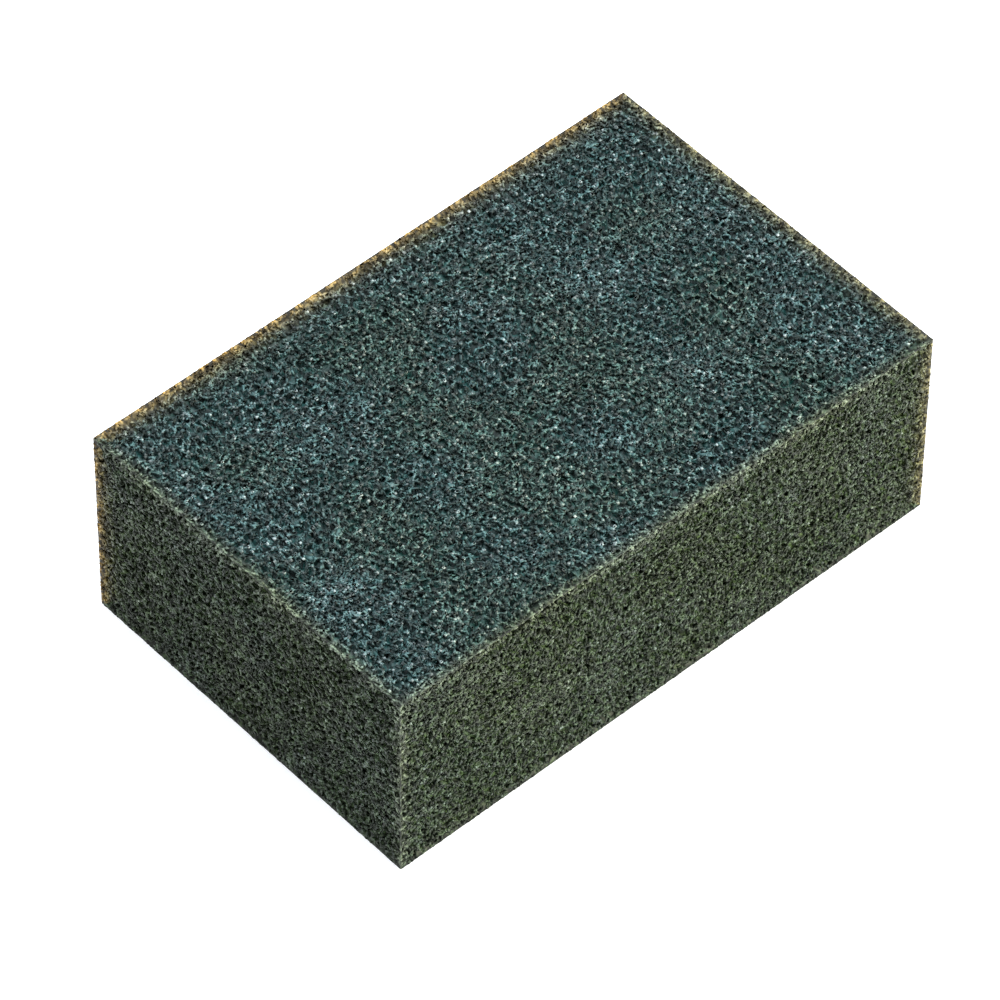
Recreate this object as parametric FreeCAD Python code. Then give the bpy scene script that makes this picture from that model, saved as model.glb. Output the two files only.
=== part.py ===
import FreeCAD, Part
import os

# Dry floral foam brick: one plain rectangular block cut from a bun of coarse,
# open-cell foam. Nothing is fitted inside it and nothing is joined to it, so
# it is a single solid. The open-cell surface isn't modelled here: this solid
# is the envelope of the cut faces.

# Driving dimensions, in millimetres.
LENGTH = 140.0       # +X, the longest side
WIDTH = 90.0         # +Y
HEIGHT = 50.0        # +Z, as the block rests on its largest face
ARRIS = 0.6          # the crumbled edge that a hot-wire or saw cut leaves

PARTS_DIR = "parts"


def block():
    """The block, with its origin at the middle of the face it rests on."""
    corner = FreeCAD.Vector(-LENGTH / 2.0, -WIDTH / 2.0, 0.0)
    return Part.makeBox(LENGTH, WIDTH, HEIGHT, corner)


def eased(shape):
    """The same block with every arris broken by a small round."""
    return shape.makeFillet(ARRIS, shape.Edges)


def save(shape, name):
    """Writes one node's solid, after checking that it is one valid solid."""
    if not shape.isValid() or len(shape.Solids) != 1:
        raise RuntimeError(name + " isn't one valid solid")
    shape.exportStep(os.path.join(PARTS_DIR, name + ".step"))


os.makedirs(PARTS_DIR, exist_ok=True)
save(eased(block()), "foam_block")
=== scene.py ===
import math

import bpy
import numpy as np
from mathutils import Matrix, Vector


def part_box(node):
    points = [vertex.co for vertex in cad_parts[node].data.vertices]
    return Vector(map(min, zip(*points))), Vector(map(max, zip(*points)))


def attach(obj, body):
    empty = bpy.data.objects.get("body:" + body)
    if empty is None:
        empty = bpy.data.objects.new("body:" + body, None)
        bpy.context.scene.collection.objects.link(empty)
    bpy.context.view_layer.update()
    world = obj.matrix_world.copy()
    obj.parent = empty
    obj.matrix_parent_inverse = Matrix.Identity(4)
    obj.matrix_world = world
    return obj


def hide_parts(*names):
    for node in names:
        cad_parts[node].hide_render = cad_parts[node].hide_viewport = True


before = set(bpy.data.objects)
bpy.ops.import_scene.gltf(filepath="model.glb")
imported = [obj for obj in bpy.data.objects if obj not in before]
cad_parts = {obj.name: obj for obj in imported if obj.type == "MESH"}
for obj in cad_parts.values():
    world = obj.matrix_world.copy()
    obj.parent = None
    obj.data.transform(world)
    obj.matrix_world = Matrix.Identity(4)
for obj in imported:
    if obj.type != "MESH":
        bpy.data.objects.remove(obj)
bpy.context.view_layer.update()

MM = 0.001
BLOCK_LOW, BLOCK_HIGH = (np.array(c, float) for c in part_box("foam_block"))

# The foam's own sizes, in metres.
CELL = 2.0 * MM            # cell pitch: coarse open-cell foam, about 12 cells to the inch
STRUT_R = 0.25 * MM        # half the thickness of a strut
DRIFT, DRIFT_WAVES, DRIFT_OVER = 1.3 * MM, 24, 26 * MM    # the packing drifts slowly by this
WANDER, WANDER_WAVES, WANDER_OVER = 0.25 * MM, 40, 6 * MM # and wanders faster by this
WAVES_SPREAD = (0.7, 1.4)  # a wave is this much as long as is usual in its field
JITTER = 0.50              # each corner strays by itself, as a share of the pitch
WINDOWS_SHUT = 0.06        # share of windows that still have their skin
SKIN_T = 0.03 * MM         # half a skin's thickness at its middle
SKIN_SIZE = 0.97           # a skin's ring is this much of its window's
REPEAT_REACH = 1.2 * CELL  # one repeat's struts reach this far from its middle
REPEAT_STRAY = 3.5 * CELL  # before it drifts, its middle is at most this far outside the block
STRUT_REACH = 0.5 * CELL   # a strut reaches this far from its own middle
STRUT_DEPTH = 1.35 * MM    # struts are free-standing down to here
UNDER_DEPTH = 0.6 * MM     # the same on the face that the block rests on
SIGHT_DEPTH = 2.7 * MM     # and the deeper ones are one dark relief down to here
KNOT_R = 0.38 * MM         # the lump where four struts meet
KNOT_DEPTH = 0.6 * MM      # lumps are shaped down to here
KNOT_OUT = 0.1 * MM        # and may have their middle this far outside the cut
KNOT_LEAST, KNOT_SPREAD, KNOT_FULLER = 0.55, 0.45, 0.4   # a lump's least size, its spread by chance, and its growth with its painted glint
POINT_LEAST, POINT_SPREAD = 0.7, 0.6    # and how far out each of its points lies
THINNEST, SPREAD = 0.75, 0.75   # a strut's end is this much of STRUT_R, plus up to this much more
WEDGE_FULLER = 1.15        # a wedge is this much wider than a three-sided strut, to look as thick
BEAD_FULLER = 1.3          # and a ball this much
RELIEF_PITCH = 0.52 * MM   # spacing of the relief's points
ARRIS_R = 0.15 * MM        # the round that handling leaves on a cut arris
PUSH_LEAST = 0.02 * MM     # the relief is pushed in by this at an arris,
PUSH_SLOPE, PUSH_GROWTH = 0.2, 0.5 / MM   # and then by a share of the distance from it that grows
PUSH_STEEPEST = 0.85       # up to this
BEADS = 6                  # balls along a deep strut
BEADS_REACH = 2            # a ball is felt by relief points up to this many steps away
OVERLAP = 0.2 * MM         # the relief begins this far above where free-standing struts end
WHOLE = 0.001              # a strut that loses less than this share of its length is whole
STUMP = 0.05               # and one with less than this left isn't made
FLATTEST = 0.3             # a cut end is drawn out no further than on a strut of this slope
TEXEL_MARGIN = 0.45        # a solid's place on its texture sheet keeps this far from its cell's rim
NEAR_UPRIGHT = 0.8         # a strut steeper than this takes its cross direction from X, not Z
LATTICE_TILT = (0.42, 0.31, 0.77)
SEED = 4177

# Salts keep the hashed numbers of one lattice point apart, one salt for each use.
SALTS_JITTER, SALTS_POINT = (1, 2, 3), range(50, 56)
SALT_TURN, SALT_RADIUS, SALT_SHUT, SALT_KNOT, SALT_GLINT = 11, 12, 31, 57, 61

# The foam's colours.
TINT_PITCH = 1.6 * MM      # patches of lighter and darker foam: partly random tone, partly painted clusters of glints
TINTS = [(0.36, "#727272"), (0.5, "#a4a4a4"), (0.64, "#f8f8f8")]
AGED_PITCH = 24.0 * MM     # broad patches where the dye has turned browner
AGED = [(0.42, "#ffffff"), (0.62, "#fffbec")]
# Tone ramps by depth. The top's is bluer and the sides' greener: half of that is the foam's own
# dark green, and half is painted light, cool from above and warm on the sides. On the top deeper
# foam is darker, painted shade in the recesses; on the sides deeper foam is lighter, painted light
# that offsets their shade.
TOP_TONES = [(0.0, "#4d7071"), (0.08, "#416162"), (0.25, "#2e514f"), (0.5, "#194744"),
             (0.8, "#12413f")]
SIDE_TONES = [(0.0, "#475940"), (0.08, "#425539"), (0.25, "#445936"), (0.5, "#5a714b"),
              (0.8, "#667d55")]
TONES_DEPTH = 3.2          # the depth in millimetres at the end of those ramps
GLINT_COLOUR = "#b3c1c2"           # painted glints on the full corners of the network, where the skin is thick and catches light
STRUT_GLINT = 0.15          # and this much of it runs along their struts
GLINT_SHARE = 0.7           # share of corners that carry a painted glint at all
SIDE_GLINT = 0.38           # the sides show this much of the painted glints
GLINT_DEPTH = 0.9 * MM      # the painted glints fade inwards over this
ARRIS_HIGHLIGHT_MOST = 0.68
ARRIS_HIGHLIGHT_WIDTH = 2.0 * MM      # painted highlight along the arrises, where light falls on them from both faces, over this width
ARRIS_HIGHLIGHT = "#929e86"
RIM_BACKLIGHT_MOST = 0.9
RIM_BACKLIGHT_END = 0.4           # this much of it on the +X end, less than on the +Y side
RIM_BACKLIGHT_WIDTH = 1.5 * MM    # painted warm backlight, as if light shone through the thin foam, on the far arrises over this
RIM_BACKLIGHT = "#d2a34a"
SHEET_SHARE = 0.75         # the closed relief behind the struts takes this much of the painted arris highlight and painted rim backlight
SHEET_DEPTH = 0.7 * MM     # and as dark as foam that lies at least this deep
PIT_PITCH = 0.8 * MM       # near an arris the relief is nearly closed, and painted with dark spots this far apart, painted shade standing for the cell holes
PIT_RIM = (0.46, 0.56)     # the noise values at a pit's floor and at its rim
PIT_SHADE_WIDTH = 1.3 * MM       # over this width of it
PIT_SHADE_MOST = 0.9
PIT_SHADE = "#171e17"
CONTACT_SHADE_MOST = 0.6          # painted shade where the block meets the floor darkens the lower arrises
CONTACT_SHADE_WIDTH = 0.6 * MM
CONTACT_SHADE = "#20281d"
TOP_FADE = 2.2 * MM        # painted cool light: the top's bluer ramp fades to the arris over half of this
NOISE_ROUGH = 0.6          # how strong the finer detail of every noise is
GLOSS_FROM = (0.3, 0.7)    # the noise values at which the skin is roughest and smoothest
ROUGHEST, SMOOTHEST = 0.65, 0.45
FOAM_IOR = 1.5
FOAM_GLINT = 0.35          # the skin reflects a little less than a solid plastic
MIX_SHARE, MIX_UNDER, MIX_OVER, MIX_RESULT = 0, 6, 7, 2   # a colour mix node's own sockets

# Where each face's chart lies on the texture sheet, in millimetres: -X, +X, -Y, +Y, -Z, +Z.
CHART_AT = ((2, 146), (96, 146), (188, 2), (188, 146), (2, 2), (96, 2))
SHEET = 290.0
TEXELS = 1024              # the sheet of a piece of struts is this many texels wide
FACE_PIECES = (("end_struts", (0, 3)), ("front_side_struts", (1,)), ("back_side_struts", (4,)),
               ("underside_struts", (2,)), ("top_struts", (5,)))


# ---------------------------------------------------------------- colours and nodes

def linear(hex_colour):
    """sRGB hex to linear RGBA: each channel by the standard sRGB curve."""
    values = [int(hex_colour[i:i + 2], 16) / 255.0 for i in (1, 3, 5)]
    out = [v / 12.92 if v <= 0.04045 else ((v + 0.055) / 1.055) ** 2.4 for v in values]
    return (*out, 1.0)


def add_node(tree, kind, settings=None, inputs=None):
    """One shader node with its settings and its inputs. An input is called by its name or number,
    and is a value, a hex colour or another node's output. The setting "stops" fills a colour ramp
    with (place, hex colour) pairs."""
    node = tree.nodes.new(kind)
    for name, value in (settings or {}).items():
        if name == "stops":
            elements = node.color_ramp.elements
            while len(elements) > 1:
                elements.remove(elements[-1])
            elements[0].position, elements[0].color = value[0][0], linear(value[0][1])
            for place, colour in value[1:]:
                elements.new(place).color = linear(colour)
        else:
            setattr(node, name, value)
    for name, value in (inputs or {}).items():
        if isinstance(value, bpy.types.NodeSocket):
            tree.links.new(value, node.inputs[name])
        else:
            node.inputs[name].default_value = linear(value) if isinstance(value, str) else value
    return node


def new_material(name):
    """An empty node material."""
    mat = bpy.data.materials.new(name)
    mat.use_nodes = True
    mat.node_tree.nodes.clear()
    return mat, mat.node_tree


def foam_material():
    """Reticulated polyurethane foam, dyed, saw cut from a bun. On the top its struts darken
    inwards, painted shade, and on the sides they lighten inwards, painted light; its full corners
    carry painted glints. The top is painted bluer than the sides, partly a painted cool light from
    above.
    Its skin is smooth but cut rough, which gives it small soft glints. The base colour is a ramp by
    depth, mixed with each of the other colours in turn by what the piece says of its points, and
    multiplied by two tints that change slowly through the block."""
    mat, tree = new_material("reticulated_polyurethane_foam")
    place = add_node(tree, "ShaderNodeTexCoord").outputs["Object"]
    told = {name: add_node(tree, "ShaderNodeAttribute", {"attribute_name": name}).outputs["Fac"]
            for name in ("depth_mm", "upward", "pale", "worn", "yellowed", "pitted", "soiled")}
    patches, cells, aging = (
        add_node(tree, "ShaderNodeTexNoise", {"noise_dimensions": "3D"},
                 {"Vector": place, "Scale": 1 / pitch, "Detail": detail,
                  "Roughness": NOISE_ROUGH}).outputs["Fac"]
        for pitch, detail in ((TINT_PITCH, 1.0), (PIT_PITCH, 1.0), (AGED_PITCH, 0.0)))
    inwards = add_node(tree, "ShaderNodeMath", {"operation": "DIVIDE"},
                       {0: told["depth_mm"], 1: TONES_DEPTH}).outputs[0]
    side, top, tint, browning_and_rim_faces = (
        add_node(tree, "ShaderNodeValToRGB", {"stops": stops}, {"Fac": by}).outputs["Color"]
        for stops, by in ((SIDE_TONES, inwards), (TOP_TONES, inwards), (TINTS, patches),
                          (AGED, aging)))
    # painted glints: fully on the top, less on the sides
    glint_here = add_node(tree, "ShaderNodeMath", {"operation": "MULTIPLY_ADD"},
                         {0: told["upward"], 1: 1 - SIDE_GLINT, 2: SIDE_GLINT}).outputs[0]
    # painted shade of cell holes: dark spots by noise on the nearly closed sheet near an arris
    in_pit = add_node(tree, "ShaderNodeMapRange", None,
                      {"Value": cells, "From Min": PIT_RIM[0], "From Max": PIT_RIM[1],
                       "To Min": 1.0, "To Max": 0.0}).outputs[0]
    pale, pit = (
        add_node(tree, "ShaderNodeMath", {"operation": "MULTIPLY"}, {0: a, 1: b}).outputs[0]
        for a, b in ((told["pale"], glint_here), (told["pitted"], in_pit)))
    # Mixed in over the sides' ramp in turn: the top's ramp (partly painted cool light), painted
    # glints, painted arris highlight, painted warm rim backlight, painted shade in pits and painted
    # contact shade; then the two tints multiply.
    colour = side
    for blend, share, over in (("MIX", told["upward"], top), ("MIX", pale, GLINT_COLOUR),
                               ("MIX", told["worn"], ARRIS_HIGHLIGHT), ("MIX", told["yellowed"], RIM_BACKLIGHT),
                               ("MIX", pit, PIT_SHADE), ("MIX", told["soiled"], CONTACT_SHADE),
                               ("MULTIPLY", 1.0, tint), ("MULTIPLY", 1.0, browning_and_rim_faces)):
        colour = add_node(tree, "ShaderNodeMix", {"data_type": "RGBA", "blend_type": blend},
                          {MIX_SHARE: share, MIX_UNDER: colour, MIX_OVER: over}).outputs[MIX_RESULT]
    gloss = add_node(tree, "ShaderNodeMapRange", None,
                     {"Value": patches, "From Min": GLOSS_FROM[0], "From Max": GLOSS_FROM[1],
                      "To Min": ROUGHEST, "To Max": SMOOTHEST}).outputs[0]
    shader = add_node(tree, "ShaderNodeBsdfPrincipled", None,
                      {"Base Color": colour, "Roughness": gloss, "IOR": FOAM_IOR,
                       "Specular IOR Level": FOAM_GLINT})
    add_node(tree, "ShaderNodeOutputMaterial", None, {"Surface": shader.outputs[0]})
    return mat


# ---------------------------------------------------------------- foam network

def hashed(keys, salt):
    """A repeatable number from 0 to 1 for each row of whole numbers: the numbers are multiplied by
    large odd constants, mixed by shifts and exclusive ors, and the low 24 bits are kept."""
    h = np.full(len(keys), (SEED * 2654435761 + salt * 40503) & 0xFFFFFFFF, np.uint64)
    for k, prime in enumerate((73856093, 19349663, 83492791)):
        key = keys[:, k].astype(np.int64).astype(np.uint64)
        h ^= (key * np.uint64(prime)) & np.uint64(0xFFFFFFFF)
        h = (h * np.uint64(2246822519)) & np.uint64(0xFFFFFFFF)
        h ^= h >> np.uint64(15)
    h = (h * np.uint64(3266489917)) & np.uint64(0xFFFFFFFF)
    h ^= h >> np.uint64(13)
    return (h & np.uint64(0xFFFFFF)).astype(float) / 0x1000000


def cell_template():
    """The corner points and edges of one repeat of closely packed fourteen-sided cells, in quarter
    pitches: a point has one coordinate 0, one 2 and one 1 or 3, and an edge joins points that
    differ by one quarter along two axes."""
    points = [(x, y, z) for x in range(4) for y in range(4) for z in range(4)
              if sorted((x % 4, y % 4, z % 4)) in ([0, 1, 2], [0, 2, 3])]
    steps = [(a, b, 0) for a in (1, -1) for b in (1, -1)]
    steps = [tuple(np.roll(s, k)) for s in steps for k in range(3)]
    ends = [(p, tuple(np.add(p, s))) for p in points for s in steps
            if tuple(np.add(p, s) % 4) in points]
    return np.array([e for e in ends if tuple(np.subtract(e[1], e[0])) > (0, 0, 0)])


def tilt_matrix():
    """Turns the packing about X, Y and Z so that none of its rows runs along a cut face."""
    a, b, c = LATTICE_TILT
    turn = Matrix.Rotation(a, 3, "X") @ Matrix.Rotation(b, 3, "Y") @ Matrix.Rotation(c, 3, "Z")
    return np.array(turn)


def wandering(points, rng, waves, wavelength, amount):
    """A smooth random shift: the sum of plane waves of random direction and phase."""
    direction = rng.normal(size=(waves, 3))
    direction /= np.linalg.norm(direction, axis=1)[:, None]
    k = direction * 2 * math.pi / (wavelength * rng.uniform(*WAVES_SPREAD, waves))[:, None]
    phase = rng.uniform(0, 2 * math.pi, waves)
    push = rng.normal(size=(waves, 3)) * amount / math.sqrt(waves)
    return np.sin(points @ k.T + phase) @ push


def node_places(quarters):
    """Where a lattice corner lies in the block, from its quarter-pitch numbers: tilted, shifted by
    two smooth random fields so that no rows run through the foam, and jittered on its own."""
    centre = (BLOCK_LOW + BLOCK_HIGH) / 2
    p = quarters * (CELL / 4) @ tilt_matrix().T + centre
    rng = np.random.default_rng(SEED)
    p = p + wandering(p, rng, DRIFT_WAVES, DRIFT_OVER, DRIFT) \
        + wandering(p, rng, WANDER_WAVES, WANDER_OVER, WANDER)
    jitter = np.stack([hashed(quarters, s) for s in SALTS_JITTER], 1) - 0.5
    return p + jitter * CELL * JITTER


def depth_of(p):
    """How far each point is inside the block, negative outside."""
    return np.minimum(p - BLOCK_LOW, BLOCK_HIGH - p).min(1)


def repeats_near_skin(depth):
    """Whole-number places of the lattice repeats whose middles lie near the cut faces."""
    reach = np.linalg.norm(BLOCK_HIGH - BLOCK_LOW) / 2 + 3 * CELL
    n = int(reach / CELL) + 1
    k = np.arange(-n, n + 1)
    grid = np.stack(np.meshgrid(k, k, k, indexing="ij"), -1).reshape(-1, 3)
    centre = (BLOCK_LOW + BLOCK_HIGH) / 2
    rough = (grid * CELL) @ tilt_matrix().T + centre
    grid = grid[depth_of(rough) > -REPEAT_STRAY]
    d = depth_of(node_places(grid * 4 + 2))
    return grid[(d > -REPEAT_REACH) & (d < depth + REPEAT_REACH)]


def clipped(p0, p1):
    """The part of each segment inside the block: the entry and exit shares along it for each pair
    of faces, of which the largest entry and smallest exit hold."""
    d = p1 - p0
    d = np.where(np.abs(d) < 1e-12, 1e-12, d)
    a, b = (BLOCK_LOW - p0) / d, (BLOCK_HIGH - p0) / d
    enter = np.minimum(a, b).max(1).clip(0, 1)
    leave = np.maximum(a, b).min(1).clip(0, 1)
    return enter, leave


def all_struts(depth):
    """Every strut near the cut faces: its two corners in whole numbers and in place."""
    cells = repeats_near_skin(depth)
    ends = cell_template()
    a = (cells[:, None, :] * 4 + ends[None, :, 0]).reshape(-1, 3)
    b = (cells[:, None, :] * 4 + ends[None, :, 1]).reshape(-1, 3)
    p0, p1 = node_places(a), node_places(b)
    d = depth_of((p0 + p1) / 2)
    keep = (d > -STRUT_REACH) & (d < depth)
    return a[keep], b[keep], p0[keep], p1[keep]


def to_cut_plane(ring, axis, cut_at):
    """Slides a ring's points along the strut until they lie in the cut face that the strut goes
    through, which is the nearest one to the cut."""
    below, above = cut_at - BLOCK_LOW, BLOCK_HIGH - cut_at
    side = np.argmin(np.concatenate([np.abs(below), np.abs(above)], 1), 1)
    k, rows = side % 3, np.arange(len(ring))
    plane = np.where(side < 3, BLOCK_LOW[k], BLOCK_HIGH[k])
    slope = axis[rows, k]
    slope = np.where(np.abs(slope) < FLATTEST, np.where(slope < 0, -FLATTEST, FLATTEST), slope)
    slide = (plane[:, None] - ring[rows, :, k]) / slope[:, None]
    return ring + axis[:, None, :] * slide[:, :, None]


def side_depth(p):
    """How far each point is inside the nearest upright face or the top."""
    return from_faces(p)[:, [0, 1, 3, 4, 5]].min(1)


def node_radius(quarters):
    """Struts are thicker at their corners, and some corners are fuller than others."""
    return STRUT_R * (THINNEST + SPREAD * hashed(quarters, SALT_RADIUS))


def side_ways(a, p0, p1):
    """The strut's direction and two directions across it, turned by a random angle about it."""
    axis = p1 - p0
    axis /= np.linalg.norm(axis, axis=1)[:, None]
    helper = np.where(np.abs(axis[:, 2:3]) < NEAR_UPRIGHT, [[0, 0, 1.0]], [[1.0, 0, 0]])
    u = np.cross(axis, helper)
    u /= np.linalg.norm(u, axis=1)[:, None]
    v = np.cross(axis, u)
    turn = (hashed(a, SALT_TURN) * 2 * math.pi)[:, None]
    return axis, u * np.cos(turn) + v * np.sin(turn), v * np.cos(turn) - u * np.sin(turn)


def node_painted_glint(quarters):
    """How much painted glint a corner has, from 0 to 1: most have none, and few have it fully."""
    return np.clip(1 - hashed(quarters, SALT_GLINT) / GLINT_SHARE, 0, 1)


def strut_solids():
    """Struts that a cut goes through: each is a three-sided profile carried along its segment and
    closed by a triangle at each end, turned by a random angle about its own axis. An end at a cut
    face lies in it."""
    a, b, p0, p1 = all_struts(STRUT_DEPTH)
    enter, leave = clipped(p0, p1)
    kept = ((enter > WHOLE) | (leave < 1 - WHOLE)) & (leave - enter > STUMP)
    a, b, p0, p1, enter, leave = (x[kept] for x in (a, b, p0, p1, enter, leave))
    axis, u, v = side_ways(a, p0, p1)
    r0, r1, glint0, glint1 = node_radius(a), node_radius(b), node_painted_glint(a), node_painted_glint(b)
    corners = np.arange(3) * 2 * math.pi / 3
    across = u[:, None, :] * np.cos(corners)[None, :, None] \
        + v[:, None, :] * np.sin(corners)[None, :, None]
    rings, pale = [], []
    for share, is_cut in ((enter, enter > WHOLE), (leave, leave < 1 - WHOLE)):
        centre = p0 + (p1 - p0) * share[:, None]
        ring = centre[:, None, :] + across * (r0 + (r1 - r0) * share)[:, None, None]
        rings.append(np.where(is_cut[:, None, None], to_cut_plane(ring, axis, centre), ring))
        pale.append(np.repeat((glint0 + (glint1 - glint0) * share)[:, None], 3, 1))
    faces = [(0, 1, 4, 3), (1, 2, 5, 4), (2, 0, 3, 5), (2, 1, 0), (3, 4, 5)]
    spots = [(0, 0), (0.5, 0), (1, 0), (0, 1), (0.5, 1), (1, 1)]
    return np.concatenate(rings, 1), np.concatenate(pale, 1) * STRUT_GLINT, faces, spots


def wedge_solids():
    """A deeper strut is a slim wedge: a short ridge across it at one end and another at right
    angles at the other end, joined by four triangles."""
    a, b, p0, p1 = all_struts(STRUT_DEPTH)
    enter, leave = clipped(p0, p1)
    middle = p0 + (p1 - p0) * ((enter + leave) / 2)[:, None]
    kept = (enter <= WHOLE) & (leave >= 1 - WHOLE) & (
        (middle[:, 2] - BLOCK_LOW[2] > UNDER_DEPTH) | (side_depth(middle) < STRUT_DEPTH))
    a, b, p0, p1 = (x[kept] for x in (a, b, p0, p1))
    axis, u, v = side_ways(a, p0, p1)
    r0, r1 = node_radius(a)[:, None] * WEDGE_FULLER, node_radius(b)[:, None] * WEDGE_FULLER
    places = np.stack([p0 + u * r0, p0 - u * r0, p1 - v * r1, p1 + v * r1], 1)
    pale = np.stack([node_painted_glint(a), node_painted_glint(a), node_painted_glint(b), node_painted_glint(b)], 1)
    faces = [(0, 2, 1), (0, 1, 3), (0, 3, 2), (1, 2, 3)]
    return places, pale * STRUT_GLINT, faces, [(0, 0), (1, 0), (0, 1), (1, 1)]


def knot_solids():
    """The lumps where struts meet, nearest the cut: eight-sided, each with its six points at its
    own distances from the middle. One that the cut goes through is flat in it."""
    a, b, p0, p1 = all_struts(KNOT_DEPTH + CELL)
    whole = np.unique(np.concatenate([a, b]), axis=0)
    places = node_places(whole)
    d = depth_of(places)
    kept = (d > -KNOT_OUT) & (d < KNOT_DEPTH)
    whole, places = whole[kept], places[kept]
    out = np.array([[1, 0, 0], [0, 1, 0], [-1, 0, 0], [0, -1, 0], [0, 0, 1], [0, 0, -1]], float)
    far = np.stack([hashed(whole, s) for s in SALTS_POINT], 1)
    pale = node_painted_glint(whole)
    full = KNOT_LEAST + KNOT_SPREAD * hashed(whole, SALT_KNOT) + KNOT_FULLER * pale
    size = KNOT_R * full[:, None] * (POINT_LEAST + POINT_SPREAD * far)
    places = places[:, None] + (out @ tilt_matrix().T)[None] * size[:, :, None]
    faces = [(0, 1, 4), (1, 2, 4), (2, 3, 4), (3, 0, 4), (1, 0, 5), (2, 1, 5), (3, 2, 5), (0, 3, 5)]
    spots = [(0, 0), (1, 0), (1, 1), (0, 1), (0.5, 0.5), (0.5, 0.5)]
    return places, np.repeat(pale[:, None], 6, 1), faces, spots


def window_template(sides):
    """The middles and corners of the four-sided or the six-sided windows of one repeat, in quarter
    pitches."""
    if sides == 4:
        middles = np.array([(2, 0, 0), (0, 2, 0), (0, 0, 2), (0, 2, 2), (2, 0, 2), (2, 2, 0)])
        steps = ((0, 1, 0), (0, 0, 1), (0, -1, 0), (0, 0, -1))
        corners = np.stack([[m + np.roll(step, k) for step in steps]
                            for m, k in zip(middles, (0, 1, 2, 0, 1, 2))])
        return middles, corners
    middles = np.array([(x, y, z) for x in (1, -1) for y in (1, -1) for z in (1, -1)])
    walk = np.array([(0, 1, 2), (1, 0, 2), (2, 0, 1), (2, 1, 0), (1, 2, 0), (0, 2, 1)])
    return middles, np.array([walk * m for m in middles])


def window_solids(sides):
    """Skins left across some windows: each is a thin lens, a ring of the window's corners drawn in
    a little, with a point raised on each side of its middle."""
    cells = repeats_near_skin(STRUT_DEPTH)
    middles, corners = window_template(sides)
    key = (cells[:, None, :] * 4 + middles[None]).reshape(-1, 3)
    ring = (cells[:, None, None, :] * 4 + corners[None]).reshape(-1, sides, 3)
    shut = hashed(key, SALT_SHUT) < WINDOWS_SHUT
    key, ring = key[shut], ring[shut]
    p = node_places(ring.reshape(-1, 3)).reshape(-1, sides, 3)
    centre = p.mean(1)
    kept = (depth_of(centre) > 0.0) & (depth_of(centre) < STRUT_DEPTH)
    p, centre = p[kept], centre[kept]
    normal = np.cross(p[:, 1] - p[:, 0], p[:, 2] - p[:, 0])
    normal *= SKIN_T / np.linalg.norm(normal, axis=1)[:, None]
    p = centre[:, None] + (p - centre[:, None]) * SKIN_SIZE
    places = np.concatenate([p, (centre + normal)[:, None], (centre - normal)[:, None]], 1)
    faces = [(k, (k + 1) % sides, sides) for k in range(sides)]
    faces += [((k + 1) % sides, k, sides + 1) for k in range(sides)]
    turn = [2 * math.pi * k / sides for k in range(sides)]
    spots = [(0.5 + 0.5 * math.cos(t), 0.5 + 0.5 * math.sin(t)) for t in turn] + [(0.5, 0.5)] * 2
    return places, np.zeros(places.shape[:2]), faces, spots


def from_faces(p):
    """How far each point is inside each of the block's faces: -X, -Y, -Z, +X, +Y, +Z."""
    return np.concatenate([p - BLOCK_LOW, BLOCK_HIGH - p], 1)


def strut_piece(name, kinds, sides):
    """One piece of the network: the small solids of every kind that lie nearest the given faces.
    Each solid has its own square cell of the texture sheet, and its points' places in it."""
    verts, pales, loops, sizes, spots, first, total = [], [], [], [], [], 0, 0
    for places, pale, faces, at in kinds:
        near = np.isin(from_faces(places.mean(1)).argmin(1), sides)
        places, pale = np.clip(places[near], BLOCK_LOW, BLOCK_HIGH), pale[near]
        n, m = places.shape[:2]
        flat = np.concatenate([np.array(f) for f in faces])
        number = np.repeat(np.arange(n) + total, len(flat))
        verts.append(places.reshape(-1, 3))
        pales.append(pale.ravel())
        loops.append((np.arange(n)[:, None] * m + flat + first).ravel())
        sizes.append(np.tile([len(f) for f in faces], n))
        where = np.tile(np.array(at, float)[flat], (n, 1))
        spots.append(np.concatenate([number[:, None], where], 1))
        first, total = first + n * m, total + n
    verts, loops, spots = np.concatenate(verts), np.concatenate(loops), np.concatenate(spots)
    piece = make_mesh(name, verts, loops, np.concatenate(sizes))
    cell = TEXELS // math.ceil(math.sqrt(total))
    row = TEXELS // cell
    corner = np.stack([spots[:, 0] % row, spots[:, 0] // row], 1) * cell
    places = corner + TEXEL_MARGIN + spots[:, 1:] * (cell - 2 * TEXEL_MARGIN)
    finish_piece(piece, verts, np.concatenate(pales), places / TEXELS)
    return piece


def beads():
    """The deeper struts as rows of balls along their segments: their middles and radii."""
    a, b, p0, p1 = all_struts(SIGHT_DEPTH)
    share = np.linspace(0, 1, BEADS)
    places = (p0[:, None] + (p1 - p0)[:, None] * share[None, :, None]).reshape(-1, 3)
    radii = np.repeat(node_radius(a), BEADS) * BEAD_FULLER
    return places, radii


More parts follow.
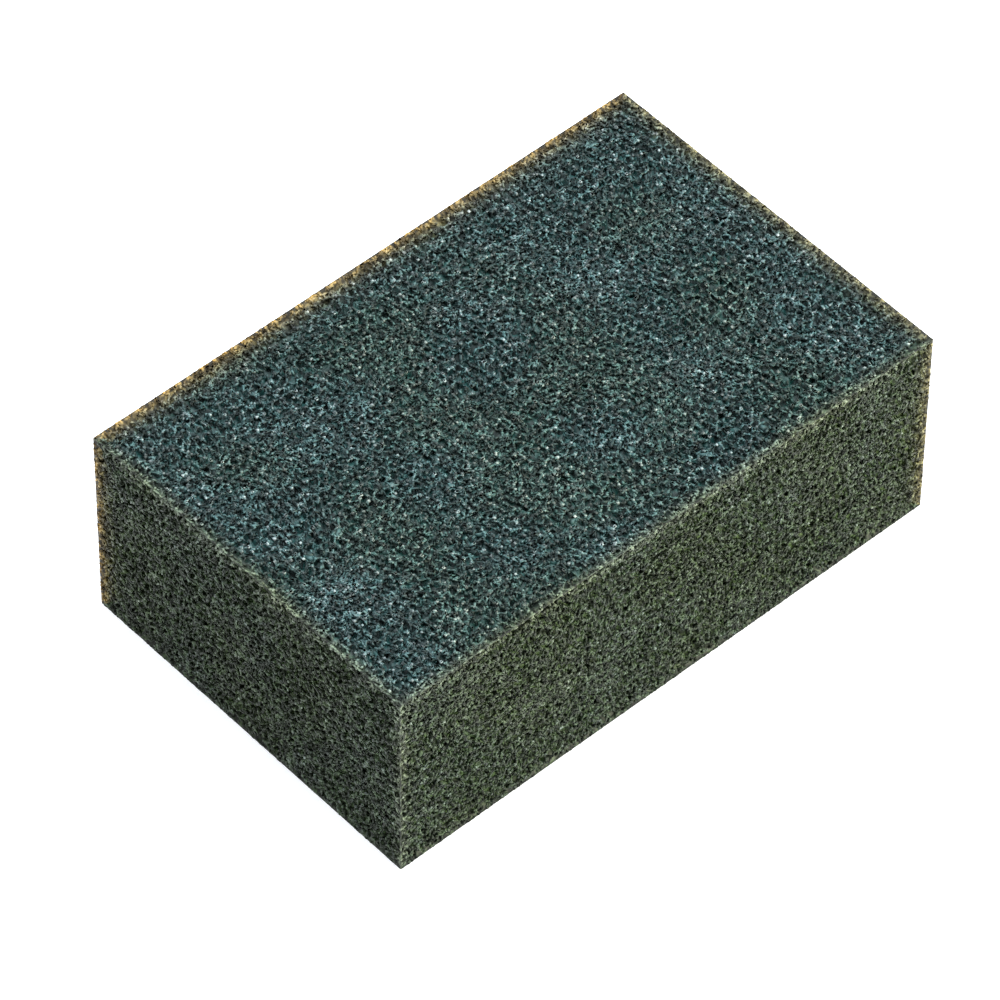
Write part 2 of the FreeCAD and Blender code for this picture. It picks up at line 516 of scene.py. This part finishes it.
def relief(places, radii, axis, high, counts):
    """How far in from one face a straight look meets the foam, at each point of the face's grid:
    the least, over the balls near the point, of the ball's depth less the half-chord through it.
    A ball that the cut goes through is met at once, so the cut leaves it flat."""
    i, j = (axis + 1) % 3, (axis + 2) % 3
    step_i = (BLOCK_HIGH[i] - BLOCK_LOW[i]) / counts[i]
    step_j = (BLOCK_HIGH[j] - BLOCK_LOW[j]) / counts[j]
    z = BLOCK_HIGH[axis] - places[:, axis] if high else places[:, axis] - BLOCK_LOW[axis]
    near = (z > STRUT_DEPTH - OVERLAP) & (z < SIGHT_DEPTH)
    z, r = z[near], radii[near]
    u = (places[near, i] - BLOCK_LOW[i]) / step_i
    v = (places[near, j] - BLOCK_LOW[j]) / step_j
    gu, gv = np.round(u).astype(int), np.round(v).astype(int)
    depth = np.full((counts[i] + 1) * (counts[j] + 1), SIGHT_DEPTH)
    steps = range(-BEADS_REACH, BEADS_REACH + 1)
    for du in steps:
        for dv in steps:
            if abs(du) + abs(dv) > BEADS_REACH:
                continue
            across = ((gu + du - u) * step_i) ** 2 + ((gv + dv - v) * step_j) ** 2
            chord = r * r - across
            ok = (chord > 0) & (gu + du >= 0) & (gu + du <= counts[i]) \
                & (gv + dv >= 0) & (gv + dv <= counts[j])
            h = np.sqrt(chord[ok])
            met = z[ok] - h
            inside = z[ok] + h > 0
            at = (gu[ok] + du) * (counts[j] + 1) + gv[ok] + dv
            np.minimum.at(depth, at[inside], np.maximum(met[inside], 0.0))
    return depth.reshape(counts[i] + 1, counts[j] + 1)


def block_skin():
    """The whole cut surface as one closed sheet: a grid of points on each face of the box, joined
    along the arrises, rounded there by moving each point to a set distance from an inner box, and
    then pushed straight in by the relief. Near an arris, where the foam is pressed closed, the push
    is held to a little of the distance from it, so the two sides of a corner never cross."""
    size = BLOCK_HIGH - BLOCK_LOW
    counts = np.round(size / RELIEF_PITCH).astype(int)
    places, radii = beads()
    keys, depths, corners, first, charts = [], [], [], 0, []
    weight = np.array([(counts[1] + 1) * (counts[2] + 1), counts[2] + 1, 1])
    for axis in range(3):
        i, j = (axis + 1) % 3, (axis + 2) % 3
        for high in (0, 1):
            s, t = np.meshgrid(np.arange(counts[i] + 1), np.arange(counts[j] + 1), indexing="ij")
            points = np.zeros((s.size, 3), int)
            points[:, i], points[:, j], points[:, axis] = s.ravel(), t.ravel(), high * counts[axis]
            keys.append(points @ weight)
            depths.append(relief(places, radii, axis, high, counts).ravel())
            number = np.arange(s.size).reshape(s.shape) + first
            quad = np.stack([number[:-1, :-1], number[1:, :-1],
                             number[1:, 1:], number[:-1, 1:]], -1)
            where = np.stack([s, t], -1).astype(float) * RELIEF_PITCH
            chart = np.stack([where[:-1, :-1], where[1:, :-1], where[1:, 1:], where[:-1, 1:]], -2)
            if not high:
                quad, chart = quad[..., ::-1], chart[..., ::-1, :]
            corners.append(quad.reshape(-1, 4))
            charts.append(chart.reshape(-1, 4, 2) + np.array(CHART_AT[axis * 2 + high]) * MM)
            first += s.size
    keys, depth = np.concatenate(keys), np.concatenate(depths)
    kept, index = np.unique(keys, return_inverse=True)
    whole = np.stack([kept // weight[0], kept % weight[0] // weight[1], kept % weight[1]], 1)
    least = np.full(len(kept), SIGHT_DEPTH)
    np.minimum.at(least, index, depth)
    flat = BLOCK_LOW + whole * size / counts
    inner = np.clip(flat, BLOCK_LOW + ARRIS_R, BLOCK_HIGH - ARRIS_R)
    outward = flat - inner
    outward /= np.linalg.norm(outward, axis=1)[:, None]
    to_arris = np.sort(from_faces(flat), 1)[:, 1]
    most = PUSH_LEAST + to_arris * np.minimum(PUSH_STEEPEST, PUSH_SLOPE + PUSH_GROWTH * to_arris)
    push = np.minimum(least, most)
    verts = inner + outward * (ARRIS_R - push)[:, None]
    loops = index[np.concatenate(corners)].ravel()
    piece = make_mesh("cell_depths", verts, loops, np.full(len(loops) // 4, 4))
    piece.data.polygons.foreach_set("use_smooth", np.ones(len(loops) // 4, bool))
    charted = np.concatenate(charts).reshape(-1, 2) / (SHEET * MM)
    # the closed sheet takes part of the painted arris highlight and rim backlight, the tone of
    # deeper foam, and the painted shade in pits
    finish_piece(piece, verts, np.zeros(len(verts)), charted, SHEET_SHARE, SHEET_DEPTH, PIT_SHADE_MOST)
    return piece


def make_mesh(name, verts, loops, sizes):
    """A mesh object from its points, the point numbers of all faces in a row and the count of
    each face."""
    mesh = bpy.data.meshes.new(name)
    mesh.vertices.add(len(verts))
    mesh.vertices.foreach_set("co", verts.astype(np.float32).ravel())
    mesh.loops.add(len(loops))
    mesh.loops.foreach_set("vertex_index", loops.astype(np.int32))
    mesh.polygons.add(len(sizes))
    starts = np.concatenate([[0], np.cumsum(sizes)[:-1]])
    mesh.polygons.foreach_set("loop_start", starts.astype(np.int32))
    mesh.update(calc_edges=True)
    mesh.validate()
    obj = bpy.data.objects.new(name, mesh)
    bpy.context.scene.collection.objects.link(obj)
    return obj


def give(mesh, name, values):
    """Keeps one number for each point of a mesh, for the material to read."""
    mesh.attributes.new(name, "FLOAT", "POINT").data.foreach_set("value", values.astype(np.float32))


def finish_piece(piece, p, pale, uv, arris_light_share=1.0, least_depth=0.0, pitted=0.0):
    """Gives a piece its material, its places on the texture sheet, what the material reads at each
    point (how deep it is, how much painted glint its corner has, how much painted arris highlight,
    painted rim backlight, painted pit shade and painted contact shade the nearness of an arris
    gives it, and whether its face is the top) and its part in the frame."""
    mesh, inside = piece.data, from_faces(p)
    nearest = np.argsort(inside, 1)[:, :2]
    depth, to_arris = (np.take_along_axis(inside, nearest[:, k:k + 1], 1)[:, 0] for k in (0, 1))
    under = (nearest == 2).any(1)
    # which faces take the painted rim backlight: fully the +Y side, less the +X end
    browning_and_rim_faces = np.where((nearest == 4).any(1), 1.0, (nearest == 3).any(1) * RIM_BACKLIGHT_END)
    top_lead = inside[:, [0, 1, 3, 4]].min(1) - inside[:, 5]
    # depth drives the tone ramps: painted shade inwards on the top, painted light inwards on the
    # sides
    give(mesh, "depth_mm", np.maximum(depth, least_depth) / MM)
    # painted glints, fading inwards from the cut
    give(mesh, "pale", pale * np.exp(-depth / GLINT_DEPTH))
    # painted highlight along the arrises, where light falls from both faces; none along the
    # underside
    give(mesh, "worn", arris_light_share * ARRIS_HIGHLIGHT_MOST * np.exp(-(to_arris / ARRIS_HIGHLIGHT_WIDTH) ** 2) * ~under)
    # painted warm rim backlight along the far arrises, none along the underside
    give(mesh, "yellowed",
         arris_light_share * RIM_BACKLIGHT_MOST * np.exp(-to_arris / RIM_BACKLIGHT_WIDTH) * browning_and_rim_faces * ~under)
    # painted shade in pits near an arris
    give(mesh, "pitted", pitted * np.exp(-(to_arris / PIT_SHADE_WIDTH) ** 2))
    # painted contact shade along the lower arrises
    give(mesh, "soiled", CONTACT_SHADE_MOST * np.exp(-to_arris / CONTACT_SHADE_WIDTH) * under)
    # how much a point belongs to the top, for its bluer ramp, which is partly painted cool light
    give(mesh, "upward", np.clip(0.5 + top_lead / TOP_FADE, 0, 1))
    mesh.uv_layers.new(name="OFBake").data.foreach_set("uv", uv.astype(np.float32).ravel())
    mesh.materials.append(FOAM)
    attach(piece, "root")
    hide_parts("foam_block")


FOAM = foam_material()
block_skin()
solids = (strut_solids(), wedge_solids(), knot_solids(), window_solids(4), window_solids(6))
for piece_name, faces in FACE_PIECES:
    strut_piece(piece_name, solids, faces)


# ---------------------------------------------------------------- floor, light, camera

FLOOR_HALF = 6.0           # metres
FLOOR_GLOW = 0.2
ROOM_LIGHT = 0.56
SUN_POWER, SUN_SPREAD, SUN_LEAN = 5.05, 1.2, (-6, 8)   # spread in radians, lean in degrees
FILL_POWER, FILL_SIZE = 21.0, 0.5
CAMERA_AZ, CAMERA_EL, CAMERA_ROLL = -42.56, 49.34, 0.71   # degrees
CAMERA_AIM = (-4.95, -1.21, -3.64)   # from the block's middle, in millimetres
CAMERA_AWAY = 1.4557       # metres from there
CAMERA_LENS, CAMERA_SENSOR = 264.9, 36.0   # millimetres


def floor():
    """A plain pale sheet under the block: opal glass lit a little from below, so that the block
    throws no shadow on it."""
    mesh = bpy.data.meshes.new("floor")
    s = FLOOR_HALF
    mesh.from_pydata([(-s, -s, 0), (s, -s, 0), (s, s, 0), (-s, s, 0)], [], [(0, 1, 2, 3)])
    obj = bpy.data.objects.new("floor", mesh)
    bpy.context.scene.collection.objects.link(obj)
    mat, tree = new_material("white_light_table")
    shader = add_node(tree, "ShaderNodeBsdfPrincipled", None,
                      {"Base Color": "#f6f6f6", "Roughness": 0.9,
                       "Emission Color": "#ffffff", "Emission Strength": FLOOR_GLOW})
    add_node(tree, "ShaderNodeOutputMaterial", None, {"Surface": shader.outputs[0]})
    mesh.materials.append(mat)


def soft_light(name, place, aim, size, power, colour):
    """A square soft box at one place, turned to face another."""
    data = bpy.data.lights.new(name, "AREA")
    data.shape = "SQUARE"
    data.size = size
    data.energy = power
    data.color = linear(colour)[:3]
    obj = bpy.data.objects.new(name, data)
    bpy.context.scene.collection.objects.link(obj)
    obj.location = place
    obj.rotation_euler = (Vector(aim) - Vector(place)).to_track_quat("-Z", "Y").to_euler()


def studio():
    """A white room, a broad light overhead, and a warmer soft box low on the right."""
    world = bpy.data.worlds.new("studio")
    bpy.context.scene.world = world
    world.use_nodes = True
    room = world.node_tree.nodes["Background"].inputs
    room["Color"].default_value, room["Strength"].default_value = linear("#ffffff"), ROOM_LIGHT
    sun = bpy.data.lights.new("overhead", "SUN")
    sun.energy, sun.angle, sun.color = SUN_POWER, SUN_SPREAD, linear("#f2f8ff")[:3]
    obj = bpy.data.objects.new("overhead", sun)
    bpy.context.scene.collection.objects.link(obj)
    obj.rotation_euler = (math.radians(SUN_LEAN[0]), math.radians(SUN_LEAN[1]), 0)
    soft_light("right_fill", place=(0.6, -1.0, 0.35), aim=(0, 0, 0.03), size=FILL_SIZE,
               power=FILL_POWER, colour="#faf6e0")


def camera():
    """A long lens that looks down at one corner of the block, from an azimuth, an elevation and a
    distance about a point near the block's middle."""
    az, el, roll = (math.radians(angle) for angle in (CAMERA_AZ, CAMERA_EL, CAMERA_ROLL))
    middle = (BLOCK_LOW + BLOCK_HIGH) / 2
    aim = Vector(middle) + Vector(CAMERA_AIM) * MM
    back = Vector((math.sin(az) * math.cos(el), -math.cos(az) * math.cos(el), math.sin(el)))
    data = bpy.data.cameras.new("camera")
    data.lens, data.sensor_width = CAMERA_LENS, CAMERA_SENSOR
    data.clip_start, data.clip_end = 0.05, 20.0
    obj = bpy.data.objects.new("camera", data)
    bpy.context.scene.collection.objects.link(obj)
    obj.location = aim + back * CAMERA_AWAY
    turn = (-back).to_track_quat("-Z", "Y").to_matrix() @ Matrix.Rotation(roll, 3, "Z")
    obj.rotation_euler = turn.to_euler()
    bpy.context.scene.camera = obj


floor()
studio()
camera()
bpy.context.scene.view_settings.view_transform = "Standard"

bpy.context.view_layer.update()
